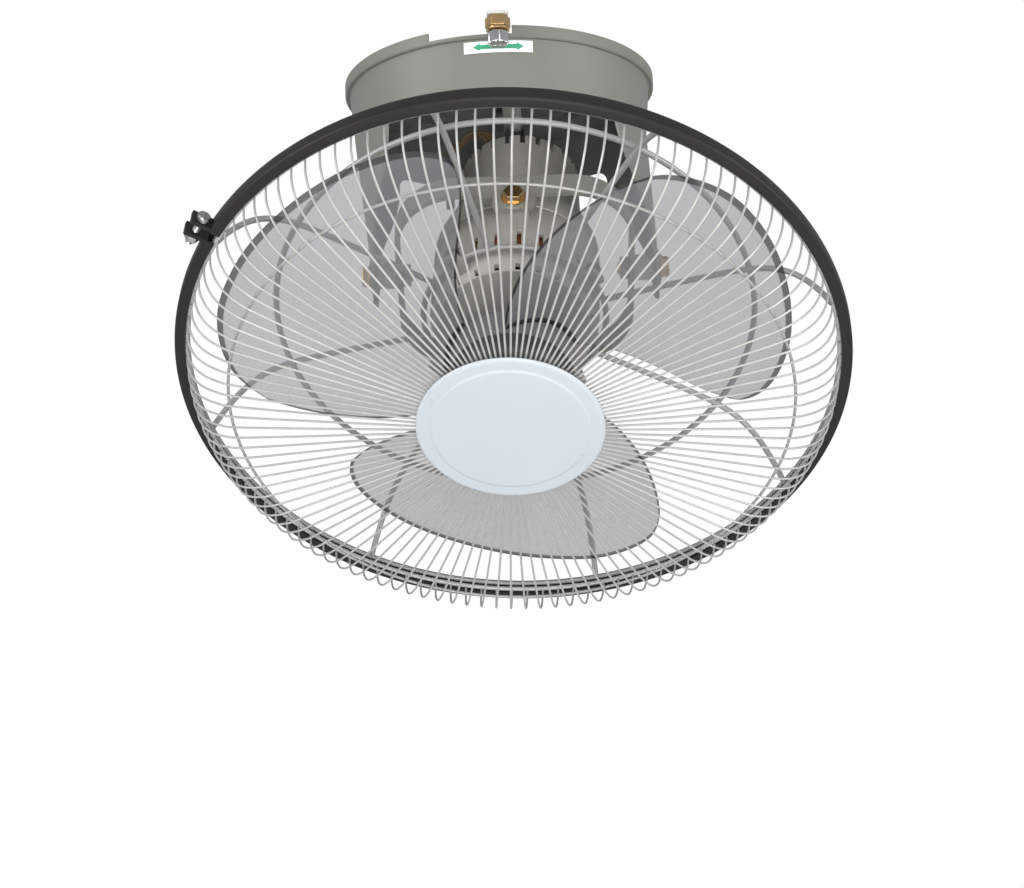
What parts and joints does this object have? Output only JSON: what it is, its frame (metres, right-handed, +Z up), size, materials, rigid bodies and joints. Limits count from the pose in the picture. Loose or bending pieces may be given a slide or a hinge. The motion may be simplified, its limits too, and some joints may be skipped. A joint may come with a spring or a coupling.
{
  "type": "orbital ceiling fan",
  "caption": "Ceiling fan head hung in a gimbal under a round drum, with a wire guard, smoke grey blades and a geared crank that swings the head round.",
  "frame": {"origin": "centre of the ceiling plate's top face, on the drum's axis", "axes": "+Z up to the ceiling, -Y towards the thumb screw and the low side of the tilted guard, +X along the ear pivots"},
  "size_m": [0.4494, 0.3821, 0.369],
  "materials": {
    "grey_paint": "satin warm grey paint",
    "pale_paint": "satin pale grey paint",
    "charcoal": "smooth charcoal",
    "smoke": "clear smoke grey",
    "chrome": "bright, knurled",
    "brass": "plain",
    "steel": "zinc plated",
    "black": "moulded",
    "badge_white": "smooth bluish white",
    "nylon": "natural",
    "copper": "varnished windings round a steel stack",
    "wire": "brown insulation",
    "label": "white film with a plain green arrow"
  },
  "bodies": {
    "housing": {"arrow_label": "label", "ceiling_plate": "pale_paint", "centre_bearing": "nylon", "drum_housing": "grey_paint", "ear_bolt_left": "brass", "ear_bolt_right": "brass", "ear_bush_left": "nylon", "ear_bush_right": "nylon", "ear_nut_left": "steel", "ear_nut_right": "steel", "lock_nut": "brass", "lock_washer": "brass", "mount_bolt_1": "steel", "mount_bolt_2": "steel", "mount_bolt_3": "steel"},
    "thumb": {"thumb_screw": "chrome"},
    "ring": {"gimbal_ring": "grey_paint"},
    "rotor": {"motor_shaft": "steel", "rotor_core": "steel", "blade_hub": "smoke", "blade_1": "smoke", "blade_2": "smoke", "blade_3": "smoke", "spinner": "black"},
    "crank": {"crank_shaft": "steel", "crank_arm": "steel", "crank_bush": "nylon"},
    "clamp": {"clamp_screw": "steel"},
    "motor": {"badge": "badge_white", "badge_screw_1": "steel", "badge_screw_2": "steel", "badge_screw_3": "steel", "clamp_nut": "steel", "front_bearing": "steel", "front_cover": "pale_paint", "front_guard": "pale_paint", "front_pivot_bolt": "brass", "gearbox": "steel", "guard_screw_1": "steel", "guard_screw_2": "steel", "guard_screw_3": "steel", "guard_screw_4": "steel", "motor_wires": "wire", "rear_bearing": "steel", "rear_cover": "pale_paint", "rear_guard": "pale_paint", "rear_pivot_bolt": "brass", "rim_band": "charcoal", "stator": "copper", "stiffening_ring": "pale_paint"}
  },
  "joints": [
    {"name": "ring_tilt", "type": "hinge", "parent": "housing", "child": "ring", "pos_m": [0.007, 0, -0.1423], "axis": [1, 0, 0], "range_deg": [0, 67]},
    {"name": "motor_tilt", "type": "hinge", "parent": "ring", "child": "motor", "pos_m": [0.007, -0.00829, -0.1548], "axis": [0, 0.8332, -0.553], "range_deg": [-17, 11]},
    {"name": "blade_spin", "type": "hinge", "parent": "motor", "child": "rotor", "pos_m": [0.00263, -0.05523, -0.22553], "axis": [0.0515, 0.5522, 0.8321], "continuous": true},
    {"name": "crank_turn", "type": "hinge", "parent": "motor", "child": "crank", "pos_m": [0.01323, 0.05853, -0.05411], "axis": [0.0515, 0.5522, 0.8321], "continuous": true},
    {"name": "thumb_screw_turn", "type": "hinge", "parent": "housing", "child": "thumb", "pos_m": [0.0005, -0.1176, -0.016], "axis": [0, 0, 1], "continuous": true},
    {"name": "clamp_screw_turn", "type": "hinge", "parent": "motor", "child": "clamp", "pos_m": [-0.19306, -0.15221, -0.15027], "axis": [0.5292, -0.7217, 0.4462], "continuous": true}
  ],
  "couplings": [
    {"joint": "crank_turn", "follows": "blade_spin", "ratio": 0.0056}
  ]
}
